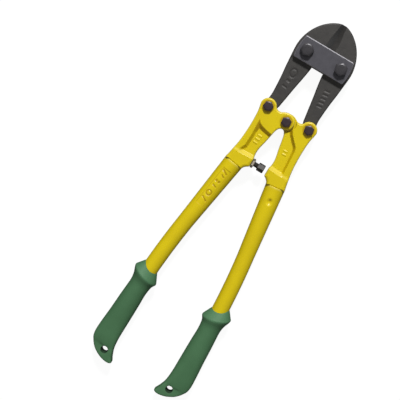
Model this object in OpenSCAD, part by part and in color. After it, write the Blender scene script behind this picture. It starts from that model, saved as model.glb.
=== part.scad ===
// Bolt cutters, 450 mm size, lying flat with the jaws closed.
// +Y runs from the grips to the jaws, +X to the right, +Z up. Z = 0 is the surface they lie on.
// Shapes are drawn round the centre bolt (x = 0, y = 0) in the mid plane, then moved by place().

/* [Overall] */
// Distance from the centre bolt to the tip of the closed jaws
tip_y = 119.2; // [115:0.1:125]
// Distance from the centre bolt down to the ends of the grips
grip_end_y = 336.4; // [332:0.1:345]
// Height of the mid plane above the surface
mid_z = 16; // [15.5:0.1:18]

/* [Linkage] */
// Sideways distance of a link bolt from the centre line
link_x = 25.4; // [24:0.1:28]
// Height of the link bolts above the centre bolt
link_y = 4.8; // [3:0.1:7]
// Sideways distance of a jaw bolt from the centre line
jaw_x = 20.7; // [19:0.1:23]
// Height of the jaw bolts above the centre bolt
jaw_y = 77; // [74:0.5:80]

/* [Jaws] */
// Widest half width of the closed jaws
jaw_half_w = 33.75; // [32:0.25:36]
// Height of the widest place above the centre bolt
jaw_wide_y = 75; // [72:0.5:78]
// Thickness of the jaw heads
jaw_t = 11; // [9:0.5:12]
// Thickness of the tangs that run into the handle heads
tang_t = 8; // [6:0.5:9]
// Width of the ground bevel beside each cutting edge
bevel_w = 4.7; // [3:0.1:6]
// Half thickness left at the cutting edge
edge_t = 0.6; // [0.3:0.1:1.5]

/* [Straps] */
// Thickness of each strap
strap_t = 4.2; // [3:0.1:5]
// Top edge of the straps above the centre bolt
strap_top = 90; // [86:0.5:93]
// Bottom edge of the straps above the centre bolt
strap_bottom = 64; // [60:0.5:67]
// How far the straps stay inside the jaws' outline
strap_inset = 2.2; // [1:0.1:4]

/* [Handle heads] */
// Thickness of a casting at its eyes
head_t = 18.2; // [16:0.2:20]
// Radius of the eyes round the bolts
eye_r = 9; // [8:0.1:10]
// Thickness of the web in the recesses
web_t = 10.4; // [9:0.1:14]
// Thickness of the block above the tube
block_t = 20; // [18:0.5:21]

/* [Tubes] */
// Outer radius at the top of a tube
tube_top_r = 11.15; // [10.5:0.05:11.5]
// Outer radius below the taper
tube_r = 9.4; // [8.5:0.1:10]
// Wall thickness
tube_wall = 1.9; // [1.4:0.1:2.2]
// Angle at which a tube leaves the centre line
tube_angle = 8.16; // [7.5:0.02:8.6]
// Angle of the grip to the centre line
grip_angle = 2.2; // [1.8:0.1:3]

/* [Grips] */
// Radius of the collar's ridge
ridge_r = 16; // [14.5:0.1:16]
// Slope of the collar across the grip
collar_tilt = 18; // [12:1:22]
// Thickness of the flat end round the hang hole
grip_end_t = 13; // [11:0.5:16]
// Radius of the hang hole
hang_r = 4; // [3:0.1:4.5]

/* [Fasteners] */
// Radius of the jaw bolts' shanks
jaw_bolt_r = 5; // [4:0.1:5.5]
// Hex head of the jaw bolts, across flats
jaw_head_af = 12.7; // [12:0.1:15]
// Radius of the link and centre bolts' shanks
link_bolt_r = 3; // [2.5:0.1:3.5]
// Hex head of the link and centre bolts, across flats
link_head_af = 10; // [9:0.1:11]
// Distance of the stop screw below the centre bolt
stop_y = 57.2; // [56:0.1:59]

/* [Hidden] */

$fn = 96;
// Circles inside a hull
hull_fn = 32;
// The bend runs on into the straights by this angle and is this much fatter, so that they are one solid
bend_overlap = 0.03;
bend_step = 0.05;
// Gap between flat faces that slide on each other
slide_gap = 0.1;
// Radial clearance of a bolt in a hole that turns on it
pivot_gap = 0.06;
// Radial room round the centre bolt in the rear eye, where the linkage's pivot is left open
open_pivot_room = 2.2;
// Radial clearance of pieces that are fixed together
seat_gap = 0.03;

link_pos = [link_x, link_y];
jaw_pos = [jaw_x, jaw_y];
strap_in_z = jaw_t / 2 + slide_gap;
strap_out_z = strap_in_z + strap_t;
head_z = head_t / 2;

// The tube: a taper from the seam, a long bend, then a straight inside the grip
seam_y = -66.4;
bend_y = -150;
bend_run = 90;
tube_end_y = -282;
seam_x = 26.52;
taper_len = (seam_y - bend_y) / cos(tube_angle);
bend_x = seam_x + taper_len * sin(tube_angle);
bend_r = bend_run / (sin(tube_angle) - sin(grip_angle));
bend_cx = bend_x - bend_r * cos(tube_angle);
bend_cy = bend_y - bend_r * sin(tube_angle);
straight_y = bend_y - bend_run;
straight_x = bend_cx + bend_r * cos(grip_angle);
straight_len = (straight_y - tube_end_y) / cos(grip_angle);
spigot_len = 30;

// The grip's flat end: one round outer edge and one hollow inner edge
toe_r = 30.5;
toe_x = 32.8;
heel_r = 44.3;
heel_x = -9.1;
heel_y = -310.3;
toe_tip_x = 28.7;
hang_x = 43;
hang_y = -324.3;

// ---------- places ----------

// From the drawing's frame, round the centre bolt, to the part's own frame
module place() {
    translate([0, (grip_end_y - tip_y) / 2, mid_z]) children();
}

// Draws the right-hand piece, or its mirror image on the left
module on_side(side) {
    mirror([side < 0 ? 1 : 0, 0, 0]) children();
}

// Turns local +Z into the direction that leaves the centre line at angle a, towards the grips
module along(p, a) {
    translate([p[0], p[1], 0]) rotate([0, 0, a]) rotate([90, 0, 0]) children();
}

// ---------- shared shapes ----------

// Half width of the closed jaws at height y above the widest place
function jaw_edge(y) = jaw_half_w * pow(1 - pow((y - jaw_wide_y) / (tip_y - jaw_wide_y), 2), 0.6);

module hex_prism(af, h) {
    cylinder(d = af / cos(30), h = h, $fn = 6);
}

// Hex head standing on z = 0, chamfered at the top, and at the bottom too when both is true
module hex_head(af, h, both = false) {
    chamfer = af * 0.09;
    full = af / cos(30) / 2 + 0.05;
    intersection() {
        hex_prism(af, h);
        union() {
            translate([0, 0, h - chamfer]) cylinder(r1 = full, r2 = full - chamfer * 1.8, h = chamfer);
            translate([0, 0, both ? chamfer : 0])
                cylinder(r = full, h = h - chamfer - (both ? chamfer : 0));
            if (both) cylinder(r1 = full - chamfer * 1.8, r2 = full, h = chamfer);
        }
    }
}

module hex_nut(af, h, bore_r) {
    difference() {
        hex_head(af, h, both = true);
        translate([0, 0, -1]) cylinder(r = bore_r, h = h + 2);
    }
}

// Hex bolt with its head's seat on z = 0, the head above it and the shank below
module hex_bolt(af, head_h, shank_r, shank_len) {
    tip = shank_r * 0.18;
    hex_head(af, head_h);
    translate([0, 0, tip - shank_len]) cylinder(r = shank_r, h = shank_len - tip);
    translate([0, 0, -shank_len]) cylinder(r1 = shank_r - tip, r2 = shank_r, h = tip);
}

// ---------- jaws and straps ----------

module jaw_head_outline() {
    rows = [for (i = [0:24]) tip_y - 0.2 - (tip_y - 0.2 - 66) * pow(i / 24, 1.4)];
    polygon(concat(
        [[slide_gap / 2, 79], [slide_gap / 2, tip_y]],
        [for (y = rows) [jaw_edge(y), y]],
        [[32.65, 60], [7.3, 60], [6.6, 65.5], [2.2, 67]]
    ));
}

module tang_outline() {
    polygon([
        [7.1, 62], [14.5, 15], [15.2, 9.6], [18.4, 3], [link_x, link_y],
        [32.4, link_y + 1.5], [29.4, 17], [32.65, 62]
    ]);
    translate(link_pos) circle(r = 7.2);
}

module jaw(side) {
    color([0.26, 0.25, 0.24]) place() on_side(side) difference() {
        union() {
            translate([0, 0, -jaw_t / 2]) linear_extrude(jaw_t) jaw_head_outline();
            translate([0, 0, -tang_t / 2]) linear_extrude(tang_t) tang_outline();
        }
        translate([jaw_x, jaw_y, -jaw_t]) cylinder(r = jaw_bolt_r + pivot_gap, h = 2 * jaw_t);
        translate([link_x, link_y, -jaw_t]) cylinder(r = link_bolt_r + pivot_gap, h = 2 * jaw_t);
        for (face = [-1, 1]) ground_bevel(face);
    }
}

// The wedge ground off one face of a jaw beside its cutting edge
module ground_bevel(face) {
    deep = jaw_t / 2 + 1;
    slope = (jaw_t / 2 - edge_t) / bevel_w;
    translate([0, 82, 0]) rotate([-90, 0, 0]) linear_extrude(60)
        polygon([[0, face * edge_t], [bevel_w + 1 / slope, face * deep], [-1, face * deep], [-1, face * edge_t]]);
}

module strap_outline() {
    rows = [for (i = [0:14]) strap_top - (strap_top - strap_bottom) * i / 14];
    half = [for (y = rows) [jaw_edge(y) - strap_inset, y]];
    polygon(concat(half, [for (i = [14:-1:0]) [-half[i][0], half[i][1]]]));
}

module strap(low_z) {
    color([0.33, 0.33, 0.36]) place() difference() {
        translate([0, 0, low_z]) linear_extrude(strap_t) strap_outline();
        for (side = [-1, 1])
            translate([side * jaw_x, jaw_y, low_z - 1]) cylinder(r = jaw_bolt_r + seat_gap, h = strap_t + 2);
    }
}

module jaw_bolt(side) {
    color([0.16, 0.15, 0.17]) place() translate([side * jaw_x, jaw_y, strap_out_z])
        hex_bolt(jaw_head_af, 6, jaw_bolt_r, strap_out_z + mid_z);
}

module jaw_nut(side) {
    nut_h = 5;
    color([0.16, 0.15, 0.17]) place() translate([side * jaw_x, jaw_y, -strap_out_z - nut_h])
        hex_nut(15, nut_h, jaw_bolt_r + seat_gap);
}

// ---------- handle heads ----------

module casting_outline() {
    translate(link_pos) circle(r = eye_r);
    circle(r = eye_r);
    polygon([
        [0, 8.9], [5.5, 7.1], [11.5, 6], [17, 7], [19, 11.2], [33.6, 1.2],
        [32.5, -5], [32, -14], [32.1, -25], [32.9, -40], [34.35, -50],
        [35.35, -55], [seam_x + tube_top_r * cos(tube_angle), seam_y + tube_top_r * sin(tube_angle)],
        [seam_x - tube_top_r * cos(tube_angle), seam_y - tube_top_r * sin(tube_angle)],
        [13.9, -65.1], [9.5, -62], [9.5, -53.4], [10.5, -50], [10.6, -42],
        [8.1, -30], [6.2, -20], [5.1, -15], [2.6, -9.8], [0, -8.6]
    ]);
}

// Where the front of a casting is sunk down to its web
module front_recess_outline() {
    polygon([
        [-2, -2], [9.6, -2], [12.6, -7.8], [23.3, -18.6], [24.4, -21], [26.3, -44],
        [28.5, -49.4], [4, -49.4], [-2, -12]
    ]);
}

// Where its back is sunk
module back_recess_outline() {
    polygon([
        [25.6, -12], [22.7, -15], [15.8, -17.4], [2, -19.6], [4, -49.4], [28.7, -49.4], [25.7, -43.8]
    ]);
}

// The fork's slot, which lets the tang swing outwards
module fork_outline() {
    translate(link_pos) circle(r = 8.1);
    polygon([
        [14, 25], [14.6, 9.3], [17.8, 1.6], [link_x, link_y - 8.1], [45, link_y - 8.1], [45, 25]
    ]);
}

// One casting, as it lies on the right: its centre eye is the rear one
module casting(centre_hole_r) {
    web = web_t / 2;
    lap_r = eye_r + open_pivot_room + 0.4;
    difference() {
        union() {
            translate([0, 0, -head_z]) linear_extrude(head_t) casting_outline();
            translate([0, 0, -block_t / 2]) linear_extrude(block_t) intersection() {
                casting_outline();
                translate([0, -75]) square([60, 22]);
            }
            along([seam_x, seam_y], tube_angle) spigot();
        }
        translate([0, 0, -slide_gap]) cylinder(r = lap_r, h = head_t);
        translate([0, 0, -tang_t / 2 - slide_gap]) linear_extrude(tang_t + 2 * slide_gap) fork_outline();
        translate([0, 0, web]) linear_extrude(head_t) front_recess_outline();
        translate([0, 0, -web - head_t]) linear_extrude(head_t) back_recess_outline();
        translate([0, 0, -head_t]) cylinder(r = centre_hole_r, h = 2 * head_t);
        translate([link_x, link_y, -head_t]) cylinder(r = link_bolt_r + seat_gap, h = 2 * head_t);
    }
}

// The plug that fills the top of the tube
module spigot() {
    clearance = 0.08;
    shrink = (tube_top_r - tube_r) * spigot_len / taper_len;
    r = tube_top_r - tube_wall - clearance;
    cylinder(r1 = r, r2 = r - shrink, h = spigot_len);
}

module head_left() {
    color([0.84, 0.74, 0.08]) place() rotate([0, 180, 0]) difference() {
        casting(link_bolt_r + seat_gap);
        translate([0, -stop_y, 0]) rotate([0, 90, 0]) cylinder(r = 3 + pivot_gap, h = 27);
    }
}

module head_right() {
    color([0.84, 0.74, 0.08]) place() casting(link_bolt_r + open_pivot_room);
}

// ---------- tubes and grips ----------

// Solid along the tube's axis, grown by g; past_end lengthens the top
module tube_core(g, past_end = 0) {
    along([seam_x, seam_y], tube_angle) {
        cylinder(r1 = tube_top_r + g, r2 = tube_r + g, h = taper_len);
        if (past_end > 0) translate([0, 0, -past_end]) cylinder(r = tube_top_r + g, h = past_end);
    }
    translate([bend_cx, bend_cy, 0]) rotate([0, 0, grip_angle - bend_overlap])
        rotate_extrude(angle = tube_angle - grip_angle + 2 * bend_overlap)
            translate([bend_r, 0]) circle(r = tube_r + bend_step + g);
    along([straight_x, straight_y], grip_angle) cylinder(r = tube_r + g, h = straight_len + past_end);
}

module tube(side) {
    color([0.84, 0.74, 0.08]) place() on_side(side) difference() {
        tube_core(0);
        tube_core(-tube_wall, 1);
    }
}

// Thin elliptical slice of the grip, rx across and rz thick
module slice(p, tilt, rx, rz) {
    translate([p[0], p[1], 0]) rotate([0, 0, tilt]) rotate([90, 0, 0])
        linear_extrude(0.4, center = true) scale([rx, rz]) circle(r = 1, $fn = hull_fn);
}

module grip_end_outline() {
    difference() {
        intersection() {
            translate([toe_x, toe_r - grip_end_y]) circle(r = toe_r);
            translate([toe_tip_x, -grip_end_y - 1]) square([50, 31.2]);
        }
        translate([heel_x, heel_y]) circle(r = heel_r);
    }
}

module grip_body() {
    ridge = [46.3, -225.7];
    back = [46.9, -235.8];
    waist = [46.3, -242];
    palm = [48.15, -282];
    heel = [49.25, -305];
    hull() {
        slice([45.1, -215.2], collar_tilt + 3, 10.1, 10.4);
        slice(ridge, collar_tilt - 1.5, ridge_r + 0.4, ridge_r);
    }
    hull() {
        slice(ridge, collar_tilt - 1.5, ridge_r + 0.4, ridge_r);
        slice(back, collar_tilt, 12.2, 12.4);
    }
    hull() {
        slice(back, collar_tilt, 12.2, 12.4);
        slice(waist, grip_angle, 12, 12.2);
    }
    hull() {
        slice(waist, grip_angle, 12, 12.2);
        slice(palm, grip_angle, 13.1, 11.1);
    }
    hull() {
        slice(palm, grip_angle, 13.1, 11.1);
        slice(heel, grip_angle, 14, 9.1);
    }
    hull() {
        slice(heel, grip_angle, 14, 9.1);
        translate([35.3, -318, -grip_end_t / 2]) cube([25.4, 1, grip_end_t]);
    }
    translate([0, 0, -grip_end_t / 2]) linear_extrude(grip_end_t) grip_end_outline();
}

module grip(side) {
    color([0.28, 0.46, 0.33]) place() on_side(side) difference() {
        grip_body();
        tube_core(0.05, 1);
        translate([hang_x, hang_y, -grip_end_t]) cylinder(r = hang_r, h = 2 * grip_end_t);
    }
}

// ---------- fasteners ----------

module link_bolt(x, y) {
    color([0.14, 0.13, 0.16]) place() translate([x, y, head_z])
        hex_bolt(link_head_af, 4.5, link_bolt_r, head_t + 6.2);
}

module link_washer(x, y, r) {
    color([0.3, 0.3, 0.31]) place() translate([x, y, -head_z - 1.2]) difference() {
        cylinder(r = r, h = 1.2);
        translate([0, 0, -1]) cylinder(r = link_bolt_r + seat_gap, h = 4);
    }
}

module link_nut(x, y) {
    color([0.14, 0.13, 0.16]) place() translate([x, y, -head_z - 1.2 - 4.2])
        hex_nut(link_head_af, 4.2, link_bolt_r + seat_gap);
}

// Along X, its seat at x = -1.6 and its head towards the other handle
module stop_screw() {
    color([0.22, 0.22, 0.24]) place() translate([-1.6, -stop_y, 0]) rotate([0, 90, 0])
        hex_bolt(8.6, 7.8, 3, 22);
}

module stop_lock_nut() {
    color([0.55, 0.55, 0.57]) place() translate([-9.5, -stop_y, 0]) rotate([0, 90, 0])
        hex_nut(9.4, 3.2, 3 + pivot_gap);
}

module strap_front() { strap(strap_in_z); }
module strap_back() { strap(-strap_out_z); }

strap_front();
strap_back();
jaw(-1);  // jaw_left
jaw(1);  // jaw_right
jaw_bolt(-1);  // jaw_bolt_left
jaw_bolt(1);  // jaw_bolt_right
jaw_nut(-1);  // jaw_nut_left
jaw_nut(1);  // jaw_nut_right
head_left();
head_right();
tube(-1);  // tube_left
tube(1);  // tube_right
grip(-1);  // grip_left
grip(1);  // grip_right
link_bolt(-link_x, link_y);  // link_bolt_left
link_bolt(link_x, link_y);  // link_bolt_right
link_washer(-link_x, link_y, 6.6);  // link_washer_left
link_washer(link_x, link_y, 6.6);  // link_washer_right
link_nut(-link_x, link_y);  // link_nut_left
link_nut(link_x, link_y);  // link_nut_right
link_bolt(0, 0);  // centre_bolt
link_washer(0, 0, 8);  // centre_washer
link_nut(0, 0);  // centre_nut
stop_screw();
stop_lock_nut();
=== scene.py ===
"""Bolt cutters, 450 mm size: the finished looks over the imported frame.

Shapes are worked out in the tool's own millimetres: x to the right, y towards the jaws, z up, with 0
at the centre bolt on the mid plane.
"""
import math

import bmesh
import bpy
import numpy as np
from mathutils import Matrix, Vector


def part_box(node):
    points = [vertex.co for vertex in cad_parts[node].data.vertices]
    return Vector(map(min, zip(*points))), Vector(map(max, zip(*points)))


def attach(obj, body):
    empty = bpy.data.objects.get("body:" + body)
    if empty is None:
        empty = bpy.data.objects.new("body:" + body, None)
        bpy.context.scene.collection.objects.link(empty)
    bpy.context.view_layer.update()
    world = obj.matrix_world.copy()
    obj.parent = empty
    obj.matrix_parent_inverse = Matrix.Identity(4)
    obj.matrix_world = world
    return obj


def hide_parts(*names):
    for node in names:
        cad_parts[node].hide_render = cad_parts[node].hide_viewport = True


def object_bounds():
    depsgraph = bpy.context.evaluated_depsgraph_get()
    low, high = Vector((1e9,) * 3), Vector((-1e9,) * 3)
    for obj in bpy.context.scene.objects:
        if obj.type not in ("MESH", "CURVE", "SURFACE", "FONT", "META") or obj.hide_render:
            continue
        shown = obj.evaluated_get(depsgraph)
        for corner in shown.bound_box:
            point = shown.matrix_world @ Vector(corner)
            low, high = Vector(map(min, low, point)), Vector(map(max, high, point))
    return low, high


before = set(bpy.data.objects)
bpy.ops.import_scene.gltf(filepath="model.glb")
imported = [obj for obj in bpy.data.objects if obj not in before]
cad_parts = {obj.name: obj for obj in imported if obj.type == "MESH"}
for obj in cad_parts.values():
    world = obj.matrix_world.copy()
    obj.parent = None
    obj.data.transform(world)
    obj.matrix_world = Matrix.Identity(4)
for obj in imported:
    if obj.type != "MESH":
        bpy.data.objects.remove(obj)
cad_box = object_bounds()

MM = 0.001
WELD = 2e-6          # points closer than this are one point, m
SHARP = math.radians(38)

bolt_lo, bolt_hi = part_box("centre_bolt")
blade_lo, blade_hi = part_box("jaw_left")
ORIGIN = np.array([(bolt_lo.x + bolt_hi.x) / 2, (bolt_lo.y + bolt_hi.y) / 2, (blade_lo.z + blade_hi.z) / 2])

# Places and sizes that several pieces share, mm
LINK = np.array([25.4, 4.8])     # link bolt, right side
JAW = np.array([20.7, 77.0])     # jaw bolt, right side
FACE = 9.1                       # handle head's flat face
EYE = 9.0                        # radius of the heads' eyes
STOP_Y = -57.2                   # stop screw


# ---------------------------------------------------------------- shapes worked out with numpy

def smooth(x, lo, hi):
    """0 below lo, 1 above hi, and between them 3t^2 - 2t^3 of the share t of the way."""
    t = np.clip((np.asarray(x, float) - lo) / (hi - lo), 0, 1)
    return t * t * (3 - 2 * t)


def ramp(x, lo, hi):
    """An even slope from 0 at lo to 1 at hi, with its two ends slightly eased."""
    t = np.clip((np.asarray(x, float) - lo) / (hi - lo), 0, 1)
    return 0.72 * t + 0.28 * smooth(t, 0, 1)


def drop(d, r):
    """How far a rounded edge lies under its face: r - sqrt(r^2 - (r - d)^2) within r of the edge."""
    k = np.clip(r - d, 0, r)
    return r - np.sqrt(np.maximum(r * r - k * k, 0))


def way(degrees):
    """The unit vector at each angle: (cos, sin)."""
    a = np.radians(degrees)
    return np.stack([np.cos(a), np.sin(a)], -1)


def through(knots, t):
    """Smooth line through the knots: at t, counted in knots, the cubic blend of the four nearest."""
    k = np.asarray(knots, float)
    t = np.clip(np.asarray(t, float), 0, len(k) - 1)
    i = np.clip(np.floor(t).astype(int), 0, len(k) - 2)
    f = (t - i)[:, None]
    a, b, c, d = (k[np.clip(i + j, 0, len(k) - 1)] for j in (-1, 0, 1, 2))
    square = 2 * a - 5 * b + 4 * c - d
    cube = 3 * b - a - 3 * c + d
    return 0.5 * (2 * b + (c - a) * f + square * f ** 2 + cube * f ** 3)


def side(rows):
    """A patch's side from rows of (share, x, y): the smooth line through the points, by share."""
    rows = np.asarray(rows, float)
    return lambda t: through(rows[:, 1:], np.interp(t, rows[:, 0], np.arange(len(rows))))


def even_side(points):
    """A side through points at equal shares."""
    return side(np.column_stack([np.linspace(0, 1, len(points)), points]))


def arc(centre, radius, start, end, n):
    """n points on a circle, at equal angles from start to end in degrees."""
    return np.asarray(centre) + radius * way(np.linspace(start, end, n))


def crowded(n, pull=0.65):
    """n + 1 shares from 0 to 1 that lie closer together near both ends."""
    t = np.linspace(0, 1, n + 1)
    return (1 - pull) * t + pull * (0.5 - 0.5 * np.cos(math.pi * t))


def patch(left, right, bottom, top, u, v):
    """Grid between four sides: the blend of left and right, plus that of bottom and top, less the corners."""
    lf, rt, bt, tp = left(v), right(v), bottom(u), top(u)
    a, b = u[:, None, None], v[None, :, None]
    across = (1 - a) * lf[None] + a * rt[None]
    along = (1 - b) * bt[:, None] + b * tp[:, None]
    return across + along - (1 - b) * ((1 - a) * bt[0] + a * bt[-1]) - b * ((1 - a) * tp[0] + a * tp[-1])


def rim(grid):
    """The grid's border as one closed row: along the bottom, up the right, back on the top, down the left."""
    return np.concatenate([grid[:, 0], grid[-1, 1:], grid[-2::-1, -1], grid[0, -2::-1]])


def gap(points, line):
    """Distance from each point to the nearest place on a line of straight parts."""
    flat = np.asarray(points, float).reshape(-1, 2)
    a, b = line[:-1], line[1:]
    along = b - a
    size = np.maximum((along ** 2).sum(-1), 1e-12)
    found = []
    for part in np.array_split(flat, max(1, len(flat) * len(a) // 3_000_000)):
        p = part[:, None]
        t = np.clip(((p - a) * along).sum(-1) / size, 0, 1)
        found.append(np.sqrt(((a + t[..., None] * along - p) ** 2).sum(-1)).min(1))
    return np.concatenate(found).reshape(np.shape(points)[:-1])


def depth_in(points, loop):
    """Distance from the loop, positive inside it: there a ray crosses the loop an odd number of times."""
    loop = np.vstack([loop, loop[:1]])
    x, y = points[..., 0, None], points[..., 1, None]
    (ax, ay), (bx, by) = loop[:-1].T, loop[1:].T
    rise = np.where(by == ay, 1e-9, by - ay)
    hit = ((ay > y) != (by > y)) & (x < ax + (y - ay) * (bx - ax) / rise)
    return np.where(hit.sum(-1) % 2 == 1, 1, -1) * gap(points, loop)


def bar(x, y, cx, cy, angle, half_l, half_w, soft=0.45):
    """1 on a bar with round ends, centred at (cx, cy) and turned by angle, falling to 0 over soft mm."""
    c, s = way(angle)
    along, across = (x - cx) * c + (y - cy) * s, (y - cy) * c - (x - cx) * s
    d = np.hypot(np.maximum(np.abs(along) - (half_l - half_w), 0), across) - half_w
    return 1 - smooth(d, -soft, soft)


def ring_mark(x, y, cx, cy, rx, ry, half_w, soft=0.45):
    """1 on an oval ring round (cx, cy), falling to 0 over soft mm either side."""
    d = np.abs(np.hypot((x - cx) / rx, (y - cy) / ry) - 1) * min(rx, ry) - half_w
    return 1 - smooth(d, -soft, soft)


def curtain(line, heights):
    """Grid that hangs on a line of places: the line again for each row of heights."""
    return np.dstack([np.broadcast_to(line, (len(heights),) + line.shape), heights])


def between(start, end, rows):
    """Rows of heights from start to end, in equal steps."""
    share = np.linspace(0, 1, rows)[:, None]
    return start * (1 - share) + end * share


class Skin:
    def __init__(self):
        self.points, self.marks, self.faces, self.count = [], [], [], 0

    def grid(self, points, mark=0.0):
        """Adds a grid of points with four-sided faces, and its mark for the material: up to 1 on rubbed
        edges, ground bevels and painted highlights, and down to -1 where shade is painted in hollows and
        round bolts."""
        points = np.asarray(points, float)
        n, m = points.shape[:2]
        index = self.count + np.arange(n * m).reshape(n, m)
        quads = np.stack([index[:-1, :-1], index[1:, :-1], index[1:, 1:], index[:-1, 1:]], -1)
        self.points.append(points.reshape(-1, 3))
        self.marks.append(np.broadcast_to(np.asarray(mark, float), (n, m)).ravel())
        self.faces.append(quads.reshape(-1, 4))
        self.count += n * m
        return self

    def finish(self, name, body, slot, paint, node, turn=(1, 1, 1)):
        """Welds the grids, turns the faces outwards and makes the object that replaces a node. The turn is
        MIRROR for the other hand, or FLIP for the same part turned over about Y."""
        mesh = bpy.data.meshes.new(name)
        places = np.concatenate(self.points) * turn * MM + ORIGIN
        mesh.from_pydata(places.tolist(), [], np.concatenate(self.faces).tolist())
        layer = mesh.attributes.new("mark", "FLOAT", "POINT")
        layer.data.foreach_set("value", np.concatenate(self.marks).astype(np.float32))
        bm = bmesh.new()
        bm.from_mesh(mesh)
        bmesh.ops.remove_doubles(bm, verts=bm.verts, dist=WELD)
        bmesh.ops.dissolve_degenerate(bm, edges=bm.edges, dist=WELD / 2)
        bmesh.ops.recalc_face_normals(bm, faces=bm.faces)
        bm.to_mesh(mesh)
        bm.free()
        mesh.polygons.foreach_set("use_smooth", np.ones(len(mesh.polygons), bool))
        mesh.set_sharp_from_angle(angle=SHARP)
        piece = bpy.data.objects.new(name, mesh)
        bpy.context.scene.collection.objects.link(piece)
        mesh.materials.append(paint)
        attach(piece, body)
        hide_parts(node)


MIRROR, FLIP = (-1, 1, 1), (-1, 1, -1)


def slab(plan, top, bottom, mark):
    """A plate: the plan grid at heights top and bottom, and a wall round its border between them."""
    skin = Skin().grid(np.dstack([plan, top]), mark).grid(np.dstack([plan, bottom]), mark)
    return skin.grid(curtain(rim(plan), between(rim(top), rim(bottom), 4)), rim(mark))


# ---------------------------------------------------------------- handle heads

LAP_R = 11.6                     # radius of the half lap round the centre bolt
LAP_FROM, LAP_TO = -72, 33       # the half lap joins the arm between these angles
WEB = 5.2                        # floor of the pockets
BLOCK = 10.0                     # face of the thick block next to the tube
EYE_ROUND, BLOCK_ROUND, SEAM_ROUND = 2.1, 3.7, 1.1   # radii of the rounded edges
SLOT = 4.1                       # half the height of the fork's slot
LAP_GAP = 0.1                    # how far each half lap stays behind the mid plane

lap_start, lap_end = arc((0, 0), LAP_R, LAP_FROM, LAP_TO, 2)
HEAD_OUTER = side([(0, 37.56, -64.8), (.05, 36.75, -61.8), (.14, 35.6, -56.5), (.22, 34.75, -52),
                   (.33, 33.5, -45), (.48, 32.6, -37), (.60, 32.2, -30.5), (.70, 32.0, -25),
                   (.76, 31.95, -21.6), (.82, 32.0, -14.8), (.88, 32.3, -8), (.93, 32.85, -3.2),
                   (.97, 33.7, 1.0), (1, 34.4, 4.8)])
ARM_END = .74                    # share of the inner side where the half lap starts
HEAD_INNER = side([(0, 15.48, -68), (.03, 14.3, -65.8), (.06, 12.4, -63.9), (.09, 10.3, -62.5),
                   (.11, 9.55, -61.4), (.13, 9.5, -59.5), (.19, 9.5, -54.2), (.21, 9.75, -52.4),
                   (.24, 10.3, -50), (.28, 10.65, -46.5), (.33, 10.6, -42), (.41, 9.5, -36), (.48, 8.1, -30),
                   (.60, 6.2, -20), (.66, 5.3, -15.5), (.70, 4.5, -13), (ARM_END, *lap_start)]
                  + [(ARM_END + (1 - ARM_END) * (k + 1) / 12, *p)
                     for k, p in enumerate(arc((0, 0), LAP_R, -63.25, LAP_TO, 12))])
HEAD_TOP = side([(0, *lap_end), (.06, 11.6, 5.95), (.14, 13.8, 6.0), (.20, 15.5, 6.65), (.25, 16.7, 7.8)]
                + [(.30 + .70 * k / 15, *p) for k, p in enumerate(arc(LINK, EYE, 150, 0, 16))])
HEAD_SEAM = even_side([(15.48, -68), (37.56, -64.8)])

# The two faces: the pocket's outline, its wall's width along the arm and across it, how much shade is painted
# on the wall in both places, and the raised bars on the pocket's floor. The right head shows FRONT, the left
# one BACK.
FRONT = {"pocket": np.array([(-2, -2), (9.6, -1), (11.2, -4.6), (13.6, -8.4), (18.2, -13.2), (22.6, -17.6),
                             (24.0, -19.6), (24.6, -23), (25.4, -33), (26.3, -44), (27.6, -60), (4, -60),
                             (-2, -12)]),
         "wall": (2.6, 3.3), "shade": (.55, .8),
         "bars": [(15.6, -27.6, 4, 2.6, .85), (16.2, -31.6, 4, 2.6, .85)]}
BACK = {"pocket": np.array([(26.4, -10.6), (24.9, -12.8), (22.7, -15), (19.6, -16.5), (15.8, -17.6),
                            (10, -18.8), (2, -19.8), (4, -60), (29.6, -60), (28.6, -49), (25.9, -43.6),
                            (25.6, -30)]),
        "wall": (3.6, 4.6), "shade": (.5, 1.0),
        "bars": [(16.6, -27.4, 4, 2.7, .85), (17.0, -31.8, 4, 2.7, .85), (17.4, -36.2, 4, 2.7, .85)]}
BAR_H = 0.55

# The half lap's outline: angles round the centre bolt, and how far it is from the bolt at each
LAP_ANGLES = [-180, -90, -82, -76, -72, -69, 29, 33, 40, 50, 62, 76, 92, 110, 126, 145, 165, 180]
LAP_REACH = [8.9, 8.9, 9.25, 10.2, 11.6, 12.3, 12.3, 11.6, 11.1, 10.6, 10.15, 9.75, 9.45, 9.4, 9.4,
             9.2, 9.0, 8.9]


def lap_reach(degrees):
    """How far the half lap's outline is from the centre bolt: the eye, and wider where it joins the arm."""
    return np.interp(degrees, LAP_ANGLES, LAP_REACH)


def along_or_across(y, pair):
    """The pair's first value along the arm, its second where the pocket ends near the eyes."""
    return pair[0] + (pair[1] - pair[0]) * smooth(y, -27, -20)


def down_arm(plan):
    """How far a place is down the arm, counted on lines that run like the thick block's slope."""
    return -(plan[..., 1] + 0.06 * (plan[..., 0] - 20))


def bolt_shade_disc(distance):
    """1 near a bolt's axis, falling to 0 past its head: a disc of painted shadow round the bolt."""
    return 1 - smooth(distance, 5.5, 8.5)


def face_height(plan, face):
    """Height of a head's face: flat, less the pocket with its sloped walls, up to the thick block by a slope
    across the handle, plus raised bars on the pocket's floor."""
    x, y = plan[..., 0], plan[..., 1]
    inside = ramp(depth_in(plan, face["pocket"]), 0, along_or_across(y, face["wall"]))
    height = FACE - (FACE - WEB) * inside
    height = height + np.maximum(BLOCK - height, 0) * smooth(down_arm(plan), 49.2, 53.9)
    return height + inside * BAR_H * sum(bar(x, y, *m) for m in face["bars"])


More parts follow.
